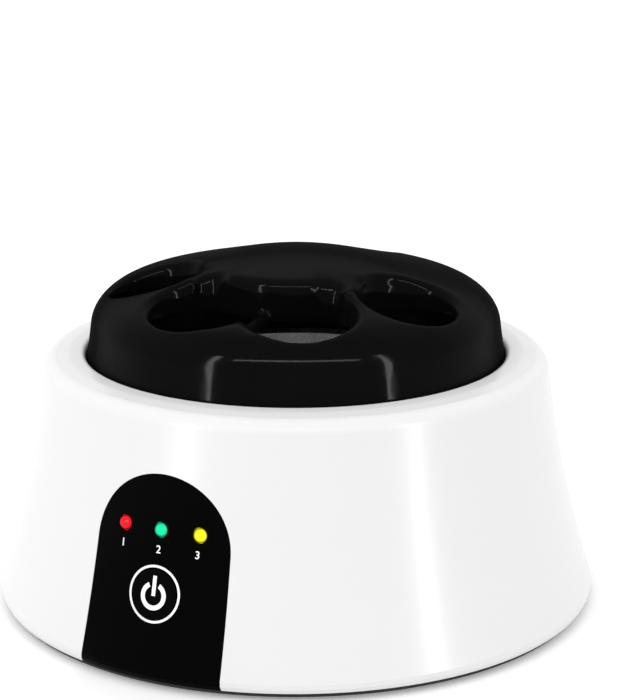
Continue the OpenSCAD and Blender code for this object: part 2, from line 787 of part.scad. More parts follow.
module dome_solid(d, z0, n, fn) {
    top = dome_pts(d, n);
    rotate_extrude($fn = fn) polygon(concat([[0, z0], [cover_r - d, z0], [cover_r - d, top_z - rim_r]], top));
}

// Plan of the collars round the holes and the hub
module collar_plan() {
    for (a = finger_angles) hole_plan(a, hole_d(a), collar_t);
    hole_plan(180, thumb_d, collar_t);
    difference() {
        circle(hub_r, $fn = 72);
        circle(hub_r - collar_t, $fn = 48);
    }
}

// Plan of everything that is open through the cover's top
module open_plan() {
    difference() {
        for (a = finger_angles) hole_plan(a, hole_d(a));
        hub_front();
    }
    hole_plan(180, thumb_d);
    hub_trench();
}

// The hub keeps its full round beside the middle holes
module hub_front() intersection() {
    circle(hub_r, $fn = 72);
    front_sector();
}

module finger_cover() color("#17181a") rotate([0, 0, cover_turn]) {
    difference() {
        dome_solid(0, seat_z, 10, 80);
        difference() {
            dome_solid(cover_t, seat_z - 1, 4, 48);
            translate([0, 0, collar_z]) linear_extrude(far) collar_plan();
        }
        linear_extrude(far) open_plan();
        difference() {
            for (a = finger_angles) at_hole(a, hole_d(a)) bell_mouth(hole_d(a));
            linear_extrude(far) hub_front();
        }
        at_hole(180, thumb_d) bell_mouth(thumb_d);
        hub_edge();
    }
    for (s = [-1, 1])
        web(s * web_angle, hub_r - 4.5, lip_reach - 7, dome_z(hub_r - 4.5) - 0.15, dome_z(lip_reach - 7) - 0.15);
    web(0, hub_r - 1, hub_r + 18, collar_z + low_web_h, collar_z + low_web_h);
}

// ---- Pieces ------------------------------------------------------------------

outer_shell();
control_panel();
power_button();
switch_plunger();
tact_switch();
led_red();
led_green();
led_yellow();
control_board();
board_chips();
lead_sockets();
board_screws();
base_plate();
base_screws();
rubber_feet();
dc_jack();
jack_pin();
jack_nut();
steam_bowl();
bowl_stud();
bowl_seal();
heater_plate();
clamp_plate();
insulation_pad();
liner_cup();
stud_washer();
stud_nut();
thermostat();
thermal_fuse();
temperature_probe();
power_leads();
heater_leads();
finger_cover();
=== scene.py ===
# %% [markdown]
# # Gel polish remover machine: the looks
#
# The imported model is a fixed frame: nothing in it is moved or scaled. This script adds what the solids
# can't hold: the soft roundings of the moulded cover, the print on the panel, the grip rings of the feet,
# and a procedural finish for each piece. Everything is in metres, +Z up, the panel faces -Y.

# %% Load the frame
import math

import bmesh
import bpy
from mathutils import Matrix, Vector
from mathutils.bvhtree import BVHTree


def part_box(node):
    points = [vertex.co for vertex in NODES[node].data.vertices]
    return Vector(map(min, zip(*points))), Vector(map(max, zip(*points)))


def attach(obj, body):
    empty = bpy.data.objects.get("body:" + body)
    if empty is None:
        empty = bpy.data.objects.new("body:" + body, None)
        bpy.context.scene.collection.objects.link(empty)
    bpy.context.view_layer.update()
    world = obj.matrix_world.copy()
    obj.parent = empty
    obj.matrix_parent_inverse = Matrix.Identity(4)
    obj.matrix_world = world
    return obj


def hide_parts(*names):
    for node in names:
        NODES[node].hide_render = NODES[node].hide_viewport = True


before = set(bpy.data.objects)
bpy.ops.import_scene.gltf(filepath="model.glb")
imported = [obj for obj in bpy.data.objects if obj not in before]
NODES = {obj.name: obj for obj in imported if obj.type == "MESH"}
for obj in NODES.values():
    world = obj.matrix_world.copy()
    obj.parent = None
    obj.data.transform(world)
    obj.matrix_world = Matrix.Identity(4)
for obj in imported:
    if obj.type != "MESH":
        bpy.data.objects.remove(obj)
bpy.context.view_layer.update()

# %% [markdown]
# ## Camera
#
# The photograph was taken with a long lens from a little above, with the panel turned to the left. The
# camera was fitted to the shell's outline, its top ring and the panel: it stands 0.63 m from the middle
# of the body, 18 degrees up, on the panel's right-hand side.

# %% Camera
mm = 0.001
PANEL_TURN = math.radians(27.5)


def turned_to_camera(x, y, z):
    """A direction given as right, back and up as the camera stands, turned into the shared frame."""
    c, s = math.cos(PANEL_TURN), math.sin(PANEL_TURN)
    return Vector((x * c - y * s, x * s + y * c, z))


def aim(position, forward):
    """The place and turn of a camera or a light that looks along forward."""
    right = forward.cross(Vector((0, 0, 1))).normalized()
    up = right.cross(forward)
    turn = Matrix((right, up, -forward)).transposed()
    return Matrix.Translation(position) @ turn.to_4x4()


middle = Vector((0, 0, 41 * mm))  # the camera and the lights are placed round this point
CAMERA_DISTANCE = 632.5 * mm
# The rise sets the place, pitch and yaw the direction: it looks a little past the middle.
rise, pitch, yaw = math.radians(18.008), math.radians(15.410), math.radians(0.465)
camera_data = bpy.data.cameras.new("camera")
camera = bpy.data.objects.new("camera", camera_data)
bpy.context.scene.collection.objects.link(camera)
camera_data.lens = 111.8
camera_data.clip_start = 0.01
camera.matrix_world = aim(
    middle + CAMERA_DISTANCE * turned_to_camera(0, -math.cos(rise), math.sin(rise)),
    turned_to_camera(math.sin(yaw) * math.cos(pitch), math.cos(yaw) * math.cos(pitch), -math.sin(pitch)),
)
bpy.context.scene.camera = camera
print("camera at, m:", [round(v, 4) for v in camera.matrix_world.translation])

# %% [markdown]
# ## Finishes
#
# Every material starts from what the real one is. One function turns a sRGB hex colour to linear, and one
# adds a node with its settings and links. Patterns read Object coordinates, in metres, so their scale
# is a real size: a noise of scale 1000 has features about a millimetre across.

# %% Colour and node helpers
def hex_colour(text):
    """sRGB hex to linear RGBA."""
    parts = [int(text[i:i + 2], 16) / 255 for i in (1, 3, 5)]
    return tuple(p / 12.92 if p <= 0.04045 else ((p + 0.055) / 1.055) ** 2.4 for p in parts) + (1.0,)


def add(tree, kind, links=None, **settings):
    """Adds a node. Links are {input: socket}. A setting is a property or an input; i1 is input number 1."""
    node = tree.nodes.new(kind)
    for key, value in settings.items():
        if hasattr(node, key):
            setattr(node, key, value)
        else:
            name = int(key[1:]) if key[1:].isdigit() else key.replace("_", " ")
            node.inputs[name].default_value = value
    for key, socket in (links or {}).items():
        tree.links.new(socket, node.inputs[key])
    return node


made = []


def start(name):
    """A new material with its shader, and Object coordinates to draw patterns on."""
    made.append(name)
    material = bpy.data.materials.new(name)
    material.use_nodes = True
    tree = material.node_tree
    tree.nodes.clear()
    shader = add(tree, "ShaderNodeBsdfPrincipled")
    add(tree, "ShaderNodeOutputMaterial", {"Surface": shader.outputs[0]})
    place = add(tree, "ShaderNodeTexCoord").outputs["Object"]
    return material, tree, shader, place


def moulded(name, colour, rough, grain_mm, depth_mm, spread=0.05, shade=0.04, clear=0.5):
    """A moulded or coated surface: a fine grain in relief, uneven gloss, and a faint drift of colour."""
    material, tree, shader, place = start(name)
    shader.inputs["Specular IOR Level"].default_value = clear
    fine = add(tree, "ShaderNodeTexNoise", {"Vector": place},
               Scale=1000 / grain_mm, Detail=3.0, Roughness=0.55)
    # Gloss and colour drift over about 22 mm.
    broad = add(tree, "ShaderNodeTexNoise", {"Vector": place}, Scale=45.0, Detail=2.0)
    gloss = add(tree, "ShaderNodeMapRange", {"Value": broad.outputs[0]}, i1=0.3, i2=0.7)
    gloss.inputs["To Min"].default_value = max(0.0, rough - spread)
    gloss.inputs["To Max"].default_value = rough + spread
    tree.links.new(gloss.outputs[0], shader.inputs["Roughness"])
    base = hex_colour(colour)
    dark = tuple(c * (1 - shade) for c in base[:3]) + (1,)
    tone = add(tree, "ShaderNodeMix", {"Factor": broad.outputs[0]}, data_type="RGBA")
    tone.inputs[6].default_value, tone.inputs[7].default_value = dark, base
    tree.links.new(tone.outputs[2], shader.inputs["Base Color"])
    relief = add(tree, "ShaderNodeBump", {"Height": fine.outputs[0]}, Strength=0.5, Distance=depth_mm * mm)
    tree.links.new(relief.outputs[0], shader.inputs["Normal"])
    return material


def finish(node, material):
    """Gives a CAD node its material."""
    mesh = NODES[node].data
    mesh.materials.clear()
    mesh.materials.append(material)


print("helpers: hex_colour, add, start, moulded, finish")

# %% [markdown]
# ## Studio
#
# The photograph is a product shot on white. The world is plain white and lights the object from all round. A
# large softbox on the left gives the shell its slow fall of tone to the right. Two upright strip lights and
# a bar above them stand in front: the gloss of the shell and the satin of the cover mirror them as a bright
# window outline, which the photograph shows too.

# %% World and lights
world = bpy.data.worlds.new("studio")
bpy.context.scene.world = world
world.use_nodes = True
sky = world.node_tree
sky.nodes.clear()
white = add(sky, "ShaderNodeBackground", Color=hex_colour("#ffffff"), Strength=1.0)
add(sky, "ShaderNodeOutputWorld", {0: white.outputs[0]})


def area_light(name, place, target, wide, tall, radiance):
    """A rectangle of light. Its power follows from how bright it should look."""
    data = bpy.data.lights.new(name, "AREA")
    data.shape = "RECTANGLE"
    data.size, data.size_y = wide, tall
    data.energy = radiance * math.pi * wide * tall
    light = bpy.data.objects.new(name, data)
    bpy.context.scene.collection.objects.link(light)
    light.matrix_world = aim(place, (target - place).normalized())
    return light


def around(azimuth, elevation, distance):
    """A place round the object: azimuth from the camera's side, positive to its right, in degrees."""
    a, e = math.radians(azimuth), math.radians(elevation)
    return middle + distance * turned_to_camera(
        math.sin(a) * math.cos(e), -math.cos(a) * math.cos(e), math.sin(e))


key = area_light("key softbox", around(-55, 48, 1.3), middle, 0.9, 0.9, 0.75)
key.visible_glossy = False


def strip(name, azimuth, wide, low, high, distance, radiance):
    """An upright strip light that only the gloss sees, from one height above the floor to another."""
    a = math.radians(azimuth)
    place = distance * turned_to_camera(math.sin(a), -math.cos(a), 0) + Vector((0, 0, (low + high) / 2))
    light = area_light(name, place, Vector((0, 0, place.z)), wide, high - low, radiance)
    light.visible_diffuse = False
    return light


STRIP_RADIANCE = 50.0
STRIP_SIZE = dict(wide=0.026, low=0.004, high=0.40, distance=0.5, radiance=STRIP_RADIANCE)
left_strip = strip("left strip", -44.5, **STRIP_SIZE)
right_strip = strip("right strip", 48, **STRIP_SIZE)
top_bar = area_light("top bar", around(0, 35.5, 0.55), middle, 0.62, 0.024, STRIP_RADIANCE)
top_bar.visible_diffuse = False
print("lights:", [light.name for light in (key, left_strip, right_strip, top_bar)])

# %% [markdown]
# A black flag keeps the strips off the panel, as it would on a real set: the panel stays an even black.

# %% Flag
flagged = bpy.data.collections.new("kept from the strips")
for node in ("control_panel", "power_button"):
    flagged.objects.link(NODES[node])
for entry in flagged.collection_objects:
    entry.light_linking.link_state = "EXCLUDE"
for light in (left_strip, right_strip, top_bar):
    light.light_linking.receiver_collection = flagged

# %% [markdown]
# The floor is seamless white paper. It is lit like everything else, so it keeps the object's shadow, and for
# the camera and for reflections a little light of its own lifts it to the white of the photograph.

# %% Floor
FLOOR_REACH = 4.0
floor_mesh = bpy.data.meshes.new("floor")
grid = bmesh.new()
bmesh.ops.create_grid(grid, x_segments=1, y_segments=1, size=FLOOR_REACH)
grid.to_mesh(floor_mesh)
grid.free()
floor = bpy.data.objects.new("floor", floor_mesh)
bpy.context.scene.collection.objects.link(floor)
floor_paint = bpy.data.materials.new("seamless white paper")
floor_paint.use_nodes = True
sheet = floor_paint.node_tree
sheet.nodes.clear()
path = add(sheet, "ShaderNodeLightPath")
paper = add(sheet, "ShaderNodeBsdfDiffuse", Color=hex_colour("#f2f2f2"))
lift = add(sheet, "ShaderNodeEmission", Color=hex_colour("#ffffff"), Strength=0.24)
lit = add(sheet, "ShaderNodeAddShader", {0: paper.outputs[0], 1: lift.outputs[0]})
seen = add(sheet, "ShaderNodeMath", {0: path.outputs["Is Camera Ray"], 1: path.outputs["Is Glossy Ray"]},
           operation="MAXIMUM")
both = add(sheet, "ShaderNodeMixShader", {0: seen.outputs[0], 1: paper.outputs[0], 2: lit.outputs[0]})
add(sheet, "ShaderNodeOutputMaterial", {0: both.outputs[0]})
floor_mesh.materials.append(floor_paint)
print("floor, m across:", 2 * FLOOR_REACH)

# %% [markdown]
# ## Finishes of the solid pieces
#
# The shell is injection-moulded ABS with a polished skin: white, with a slow ripple in its gloss. The panel
# is deep black acrylic, and the button black ABS. Inside there are bare metal, nylon, rubber and ceramic
# felt. Each comment says what the real finish gives the eye. The numbers after the colour are roughness,
# grain in mm and the grain's depth in mm.

# %% Plastics and rubbers
# Polished moulded ABS: near-white, soft wide reflections that ripple a little as the wall's thickness varies.
white_abs = moulded("moulded white ABS, polished", "#f1f1f1", 0.24, 0.9, 0.0012,
                    spread=0.03, shade=0.012, clear=0.18)
# Piano-black acrylic: no grain that the eye can see, very little light comes back from it.
panel_black = moulded("black acrylic, high gloss", "#040405", 0.08, 0.7, 0.0008,
                      spread=0.03, shade=0.3, clear=0.02)
# Gloss black ABS: a little softer than the panel round it, so its edge can be found.
button_black = moulded("black ABS, gloss", "#050506", 0.12, 0.5, 0.0012, spread=0.04, shade=0.3, clear=0.025)
# Spark-eroded black ABS of the base: fine matt grain.
base_black = moulded("black ABS, spark-eroded", "#171718", 0.55, 0.35, 0.02,
                     spread=0.06, shade=0.2, clear=0.3)
# Glass-filled nylon: fibres roughen its skin and leave it dark grey, not black.
dark_nylon = moulded("glass-filled nylon, black", "#1d1d1f", 0.5, 0.4, 0.02, spread=0.08, shade=0.25)
# Undyed nylon: a warm, waxy off-white.
pale_nylon = moulded("natural nylon", "#e9e6da", 0.42, 0.5, 0.01, spread=0.06, shade=0.05)
# Dyed acetal: smooth and slightly waxy, yellow-brown.
amber_acetal = moulded("acetal, amber", "#c9a446", 0.35, 0.5, 0.008, spread=0.06, shade=0.08)
# Transfer-moulded epoxy: dead black, with the fine even skin of its mould.
case_black = moulded("moulded epoxy case, black", "#161616", 0.5, 0.2, 0.01, spread=0.05, shade=0.2)
# Moulded rubber: matt, and greyed by dust.
foot_rubber = moulded("moulded rubber, matt", "#1c1c1c", 0.72, 0.5, 0.03, spread=0.08, shade=0.3, clear=0.25)
# Heat-proof silicone rubber: brick red and dull.
seal_rubber = moulded("silicone rubber, red", "#bb4a34", 0.5, 0.6, 0.01, spread=0.06, shade=0.12, clear=0.35)
# Extruded PVC: an even, slightly shiny red.
red_lead = moulded("PVC insulation, red", "#b3302a", 0.4, 0.6, 0.01, spread=0.08, shade=0.1)
# Extruded silicone: off-white and duller than PVC, for the heater's leads.
white_lead = moulded("silicone insulation, white", "#e6e2d8", 0.5, 0.6, 0.01, spread=0.08, shade=0.06)
# Pressed and fired steatite: chalky, with no glaze.
ceramic = moulded("steatite ceramic, unglazed", "#d9d2c2", 0.62, 0.3, 0.02, spread=0.06, shade=0.08)
# A bead dipped in epoxy: glossy amber-brown that ran a little.
epoxy_bead = moulded("dipped epoxy", "#b98a45", 0.25, 0.8, 0.01, spread=0.05, shade=0.12)
# Mica sheet with an etched foil: mottled brown, and glossy in flakes.
mica = moulded("mica and etched foil", "#8b6d4c", 0.35, 1.2, 0.02, spread=0.12, shade=0.35)
print("moulded and coated finishes:", len(made))

# %% [markdown]
# Felt and bare metal need recipes of their own: one for fibres that lie every way, one for tool marks.

# %% Felt and metal
def felt(name, colour):
    """Ceramic fibre felt: short pale fibres lying every way, about 0.4 mm across, and no gloss at all."""
    material, tree, shader, place = start(name)
    shader.inputs["Roughness"].default_value = 0.95
    shader.inputs["Specular IOR Level"].default_value = 0.1
    lie = add(tree, "ShaderNodeMapping", {"Vector": place}, Scale=(1.0, 0.18, 1.0), Rotation=(0, 0, 0.6))
    fibres = add(tree, "ShaderNodeTexNoise", {"Vector": lie.outputs[0]}, Scale=2400.0, Detail=5.0)
    cross = add(tree, "ShaderNodeMapping", {"Vector": place}, Scale=(0.18, 1.0, 1.0), Rotation=(0, 0, -0.4))
    others = add(tree, "ShaderNodeTexNoise", {"Vector": cross.outputs[0]}, Scale=2200.0, Detail=5.0)
    both = add(tree, "ShaderNodeMath", {0: fibres.outputs[0], 1: others.outputs[0]}, operation="MAXIMUM")
    tone = add(tree, "ShaderNodeValToRGB", {"Fac": both.outputs[0]})
    base = hex_colour(colour)
    tone.color_ramp.elements[0].position = 0.35
    tone.color_ramp.elements[0].color = tuple(c * 0.7 for c in base[:3]) + (1,)
    tone.color_ramp.elements[1].position = 0.7
    tone.color_ramp.elements[1].color = base
    tree.links.new(tone.outputs[0], shader.inputs["Base Color"])
    relief = add(tree, "ShaderNodeBump", {"Height": both.outputs[0]}, Strength=0.9, Distance=0.15 * mm)
    tree.links.new(relief.outputs[0], shader.inputs["Normal"])
    return material


def metal(name, colour, rough, line_mm, rings=False):
    """Bare or plated metal with fine tool marks: straight on sheet, rings on a spun or turned piece.

    A ring wave repeats after 0.314 m divided by its scale: 300 / line_mm sets the rings about line_mm apart.
    """
    material, tree, shader, place = start(name)
    shader.inputs["Metallic"].default_value = 1.0
    if rings:
        marks = add(tree, "ShaderNodeTexWave", {"Vector": place}, wave_type="RINGS", rings_direction="Z",
                    Scale=300 / line_mm, Distortion=6.0, Detail=4.0)
        marks.inputs["Detail Scale"].default_value = 3.0
    else:
        stretch = add(tree, "ShaderNodeMapping", {"Vector": place}, Scale=(1.0, 0.03, 1.0))
        marks = add(tree, "ShaderNodeTexNoise", {"Vector": stretch.outputs[0]},
                    Scale=1000 / line_mm, Detail=4.0)
    # Faint stains, about 17 mm across.
    stain = add(tree, "ShaderNodeTexNoise", {"Vector": place}, Scale=60.0, Detail=3.0)
    base = hex_colour(colour)
    tone = add(tree, "ShaderNodeMix", {"Factor": stain.outputs[0]}, data_type="RGBA")
    tone.inputs[6].default_value = tuple(c * 0.86 for c in base[:3]) + (1,)
    tone.inputs[7].default_value = base
    tree.links.new(tone.outputs[2], shader.inputs["Base Color"])
    gloss = add(tree, "ShaderNodeMapRange", {"Value": marks.outputs[0]})
    gloss.inputs["To Min"].default_value, gloss.inputs["To Max"].default_value = rough * 0.88, rough * 1.12
    tree.links.new(gloss.outputs[0], shader.inputs["Roughness"])
    relief = add(tree, "ShaderNodeBump", {"Height": marks.outputs[0]}, Strength=0.2, Distance=0.004 * mm)
    tree.links.new(relief.outputs[0], shader.inputs["Normal"])
    return material


# Spun aluminium: bright and pale, with the roller's fine rings.
spun_aluminium = metal("spun aluminium", "#d3d4d5", 0.3, 0.3, rings=True)
# Galvanised sheet: blue-grey zinc, dulled.
galvanised = metal("galvanised steel sheet", "#b9bcbf", 0.38, 0.5)
# Bright zinc plating on steel.
zinc_screw = metal("zinc-plated steel", "#c4c6c8", 0.3, 0.25)
# Oiled black oxide: dark grey with a soft shine.
dark_screw = metal("black-oxide steel", "#55585b", 0.35, 0.25)
# Nickel plating on turned brass: smooth, bright and slightly warm.
nickel = metal("nickel-plated brass", "#d8d5cd", 0.15, 0.3)
# A tinned fuse case: soft, yellowish shine.
tinned = metal("tinned case", "#c9b98e", 0.3, 0.3)
# White felt, yellowed a little by its binder.
fibre_felt = felt("ceramic fibre felt", "#ebe6da")
print("with felt and metals:", len(made))

# %% [markdown]
# The circuit board is glass fibre under green solder mask. Copper tracks show through it as slightly lighter
# lines about 0.4 mm wide, in rows 1.6 mm apart.

# %% Circuit board
solder_mask, tree, shader, place = start("solder mask on glass-fibre board")
shader.inputs["Roughness"].default_value = 0.32
tracks = add(tree, "ShaderNodeTexBrick", {"Vector": place}, Scale=160.0)
tracks.inputs["Color1"].default_value = hex_colour("#17633a")
tracks.inputs["Color2"].default_value = hex_colour("#1b6d41")
tracks.inputs["Mortar"].default_value = hex_colour("#2c8a55")
tracks.inputs["Mortar Size"].default_value = 0.06
tree.links.new(tracks.outputs[0], shader.inputs["Base Color"])
relief = add(tree, "ShaderNodeBump", {"Height": tracks.outputs[1]}, Strength=0.3, Distance=0.03 * mm)
tree.links.new(relief.outputs[0], shader.inputs["Normal"])
print("board finish:", solder_mask.name)

# %% [markdown]
# The three lamps are tinted epoxy and lit, as in the photograph: each has a bright middle and a deep rim.

# %% Lamps
def lamp_epoxy(name, rim, core, glow):
    """Tinted clear epoxy, lit: bright in the middle and deeper at its edge, as light leaves it square on."""
    material, tree, shader, place = start(name)
    shader.inputs["Roughness"].default_value = 0.12
    shader.inputs["IOR"].default_value = 1.53
    shader.inputs["Specular IOR Level"].default_value = 0.12
    edge = add(tree, "ShaderNodeLayerWeight", Blend=0.35)
    haze = add(tree, "ShaderNodeTexNoise", {"Vector": place}, Scale=900.0, Detail=2.0)
    tone = add(tree, "ShaderNodeValToRGB", {"Fac": edge.outputs["Facing"]})
    tone.color_ramp.elements[0].color = hex_colour(core)
    tone.color_ramp.elements[1].color = hex_colour(rim)
    tone.color_ramp.elements[1].position = 0.6
    grain = add(tree, "ShaderNodeMix", {"Factor": haze.outputs[0], 6: tone.outputs[0]}, data_type="RGBA",
                blend_type="MULTIPLY")
    grain.inputs[7].default_value = (0.93, 0.93, 0.93, 1)
    tree.links.new(grain.outputs[2], shader.inputs["Base Color"])
    tree.links.new(grain.outputs[2], shader.inputs["Emission Color"])
    shader.inputs["Emission Strength"].default_value = glow
    return material


lamps = {
    "led_red": lamp_epoxy("clear red epoxy, lit", "#5c0510", "#ff0c1c", 0.75),
    "led_green": lamp_epoxy("clear green epoxy, lit", "#04553f", "#02e698", 0.7),
    "led_yellow": lamp_epoxy("clear yellow epoxy, lit", "#6e6404", "#fbf403", 0.75),
}
print("lamp finishes:", [material.name for material in lamps.values()])

# %% [markdown]
# Every solid piece gets its finish. The cover has one of its own, further down.

# %% Finishes on the solid pieces
FINISHES = {
    "outer_shell": white_abs, "control_panel": panel_black, "power_button": button_black,
    "switch_plunger": amber_acetal, "tact_switch": case_black, "control_board": solder_mask,
    "board_chips": case_black, "lead_sockets": pale_nylon, "board_screws": zinc_screw,
    "base_plate": base_black, "base_screws": dark_screw, "rubber_feet": foot_rubber,
    "dc_jack": dark_nylon, "jack_pin": nickel, "jack_nut": nickel,
    "steam_bowl": spun_aluminium, "bowl_stud": spun_aluminium, "bowl_seal": seal_rubber,
    "heater_plate": mica, "clamp_plate": galvanised, "insulation_pad": fibre_felt,
    "liner_cup": dark_nylon, "stud_washer": zinc_screw, "stud_nut": zinc_screw,
    "thermostat": ceramic, "thermal_fuse": tinned, "temperature_probe": epoxy_bead,
    "power_leads": red_lead, "heater_leads": white_lead,
}
FINISHES.update(lamps)
for node, material in FINISHES.items():
    finish(node, material)
print("nodes with a finish:", len(FINISHES), "of", len(NODES))

# %% [markdown]
# ## The moulded cover
#
# The real cover is one piece of silicone rubber. Liquid rubber fills a steel mould, so every edge inside and
# out has a soft radius, and the webs melt into the rims of the holes. A bevel can't round the seams where
# curved cuts meet. The solid is therefore remeshed into even cells and relaxed: every crease becomes a
# fillet about a millimetre wide, and the large faces stay where the solid has them.

# %% Cover, shape
def modified(source, name, steps):
    """A plain mesh: the source with its loose triangles joined, after the modifiers in steps."""
    mesh = source.data.copy()
    mesh.materials.clear()
    work = bmesh.new()
    work.from_mesh(mesh)
    bmesh.ops.remove_doubles(work, verts=work.verts, dist=1e-6)
    work.to_mesh(mesh)
    work.free()
    piece = bpy.data.objects.new(name, mesh)
    bpy.context.scene.collection.objects.link(piece)
    for kind, settings in steps:
        modifier = piece.modifiers.new(kind.lower(), kind)
        for key, value in settings.items():
            setattr(modifier, key, value)
    ready = bpy.data.meshes.new_from_object(piece.evaluated_get(bpy.context.evaluated_depsgraph_get()))
    piece.modifiers.clear()
    piece.data = ready
    bpy.data.meshes.remove(mesh)
    return piece


def shade_smooth(piece, angle=None):
    """Smooth shading, but for edges sharper than the angle, in degrees, if there is one."""
    piece.data.polygons.foreach_set("use_smooth", [True] * len(piece.data.polygons))
    if angle is not None:
        piece.data.set_sharp_from_angle(angle=math.radians(angle))
    piece.data.update()


CELL = 0.55 * mm
RELAX_ROUNDS = 16
TRIANGLES_KEPT = 0.55
cover = modified(NODES["finger_cover"], "moulded_cover", [
    ("REMESH", dict(mode="VOXEL", voxel_size=CELL, adaptivity=0.0)),
    ("SMOOTH", dict(factor=0.5, iterations=RELAX_ROUNDS)),
    ("DECIMATE", dict(decimate_type="COLLAPSE", ratio=TRIANGLES_KEPT)),
])
print("cover triangles:", sum(len(p.vertices) - 2 for p in cover.data.polygons))

# %% [markdown]
# The webs between the holes end in sharp tips where two round holes cross. In the real moulding they melt
# into the rims, and the rim between the two middle holes is one soft wave. So the mesh is relaxed further
# round these tips, most at the tip itself, not at all beyond its reach, and not down at the low web.

# %% Cover, webs melted into the rims
COVER_TURN = 8.0  # the cover's front is turned this many degrees to the right of the panel's
FADE = 3  # mm of height over which the relaxing sets in


def on_cover(angle, radius, height):
    """A point of the cover: degrees to the right of its front, then mm from its axis and above the floor."""
    a = math.radians(COVER_TURN + angle)
    return Vector((radius * math.sin(a), -radius * math.cos(a), height)) * mm


def melt(piece, places, above, rounds):
    """Relaxes the mesh round each (point, reach in mm), from the height above, fully from FADE mm over it."""
    work = bmesh.new()
    work.from_mesh(piece.data)
    soft = []
    for v in work.verts:
        share = max(1 - (v.co - point).length / (reach * mm) for point, reach in places)
        share = min(1.0, 2 * share, (v.co.z / mm - above) / FADE)
        if share > 0:
            soft.append((v, share, [e.other_vert(v) for e in v.link_edges]))
    for _ in range(rounds):
        moved = [v.co.lerp(sum((n.co for n in near), Vector()) / len(near), 0.5 * share)
                 for v, share, near in soft]
        for (v, _, _), place in zip(soft, moved):
            v.co = place
    work.to_mesh(piece.data)
    work.free()
    return len(soft)


LOW_WEB_TOP = 88.5
MELT_ROUNDS = 150
LOW_REACH, TALL_REACH = 12, 8
tips = [(on_cover(0, 42.5, 91), LOW_REACH)]
tips += [(on_cover(angle, 24.5, 96), TALL_REACH) for angle in (-46.5, 46.5)]
print("relaxed vertices:", melt(cover, tips, LOW_WEB_TOP, MELT_ROUNDS))
shade_smooth(cover)

# %% [markdown]
# Silicone rubber from a fine-blasted mould is satin: it mirrors lights softly and stays deep black between
# them. Where the surface turns away, the blasted skin scatters and swallows what it would mirror, so the
# gloss fades there. Dust and skin oil make it uneven.

# %% Cover, finish
silicone, tree, shader, place = start("moulded silicone rubber, satin black")
shader.inputs["IOR"].default_value = 1.41
# Smears of dust and skin oil, about 14 mm across.
smear = add(tree, "ShaderNodeTexNoise", {"Vector": place}, Scale=70.0, Detail=3.0)
gloss = add(tree, "ShaderNodeMapRange", {"Value": smear.outputs[0]}, i1=0.3, i2=0.7)
gloss.inputs["To Min"].default_value, gloss.inputs["To Max"].default_value = 0.08, 0.11
turned_away = add(tree, "ShaderNodeLayerWeight", Blend=0.5)
scatter = add(tree, "ShaderNodeMapRange", {"Value": turned_away.outputs["Facing"]}, i1=0.4, i2=0.8)
scatter.inputs["To Min"].default_value, scatter.inputs["To Max"].default_value = 0.0, 0.55
dulled = add(tree, "ShaderNodeMapRange", {"Value": turned_away.outputs["Facing"]}, i1=0.4, i2=0.75)
dulled.inputs["To Min"].default_value, dulled.inputs["To Max"].default_value = 0.03, 0.004
tree.links.new(dulled.outputs[0], shader.inputs["Specular IOR Level"])
rough = add(tree, "ShaderNodeMath", {0: gloss.outputs[0], 1: scatter.outputs[0]}, operation="ADD")
tree.links.new(rough.outputs[0], shader.inputs["Roughness"])
tone = add(tree, "ShaderNodeMix", {"Factor": smear.outputs[0]}, data_type="RGBA")
tone.inputs[6].default_value, tone.inputs[7].default_value = hex_colour("#080809"), hex_colour("#0e0e0f")
tree.links.new(tone.outputs[2], shader.inputs["Base Color"])
# The blasted mould's grain, about 0.4 mm wide.
blast = add(tree, "ShaderNodeTexNoise", {"Vector": place}, Scale=2500.0, Detail=2.0)
relief = add(tree, "ShaderNodeBump", {"Height": blast.outputs[0]}, Strength=0.35, Distance=0.006 * mm)
tree.links.new(relief.outputs[0], shader.inputs["Normal"])
cover.data.materials.append(silicone)
finish("finger_cover", silicone)
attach(cover, "cover")
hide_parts("finger_cover")
print("cover finish:", silicone.name)

# %% [markdown]
# ## Print on the panel
#
# The ring round the button, its on-off sign and the figures under the lamps are screen-printed with white
# ink, about 0.03 mm thick. Each shape is drawn flat, in millimetres across and up the panel, then dropped on
# to the solid below it, so it follows the flare of the wall. The words of the photographed panel are left
# out: plain figures stand under the lamps, and the panel's foot is bare.

# %% Drop a flat drawing on to a piece
UPRIGHT = math.cos(math.radians(13.0))  # the panel's middle leans back by 13 degrees
IN_FRONT = -0.2  # the drawing starts from here, in m, and moves back
INK_THICKNESS = 0.03 * mm
CLEAR_OF_FACE = 0.004 * mm  # a hair of air, so that ink and face never lie in one plane


def surface_of(node):
    """A node's faces, to cast rays at."""
    mesh = NODES[node].data
    return BVHTree.FromPolygons([v.co for v in mesh.vertices], [p.vertices for p in mesh.polygons])


